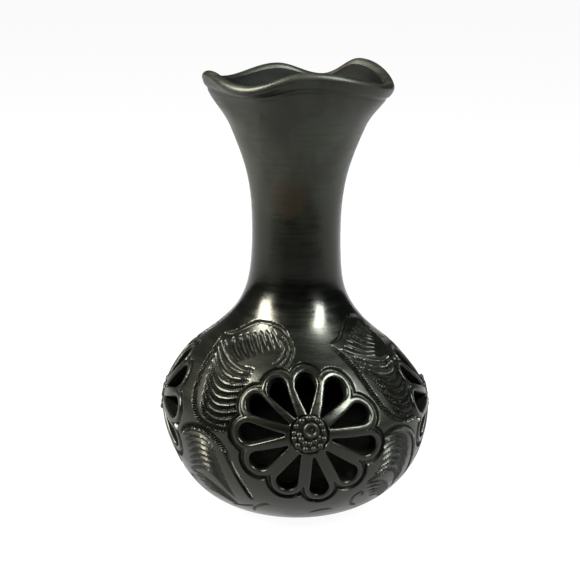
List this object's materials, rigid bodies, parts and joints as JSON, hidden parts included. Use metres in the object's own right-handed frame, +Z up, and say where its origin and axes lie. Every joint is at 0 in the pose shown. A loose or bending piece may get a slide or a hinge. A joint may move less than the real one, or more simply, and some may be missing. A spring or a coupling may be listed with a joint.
{
  "type": "pierced clay vase",
  "caption": "Black clay vase with a low round body pierced by open flowers and carved with leaf sprays, a narrow neck and a flared, ruffled mouth.",
  "frame": {"origin": "centre of the foot, on the surface that the vase stands on", "axes": "+Z up along the vase's axis, -Y towards the side with the main flower"},
  "size_m": [0.1284, 0.1274, 0.209],
  "materials": {
    "burnished_clay": "burnished black clay, graphite sheen, unglazed",
    "applied_clay": "applied black clay, satin, unglazed"
  },
  "bodies": {
    "root": {"base_slab": "burnished_clay", "bowl_wall": "burnished_clay", "shoulder": "burnished_clay", "neck": "burnished_clay", "mouth": "burnished_clay", "ruffled_rim": "burnished_clay", "flower_boss_1": "applied_clay", "flower_button_1": "applied_clay", "flower_pellets_1": "applied_clay", "flower_boss_2": "applied_clay", "flower_button_2": "applied_clay", "flower_pellets_2": "applied_clay", "flower_boss_3": "applied_clay", "flower_button_3": "applied_clay", "flower_pellets_3": "applied_clay"}
  },
  "joints": []
}
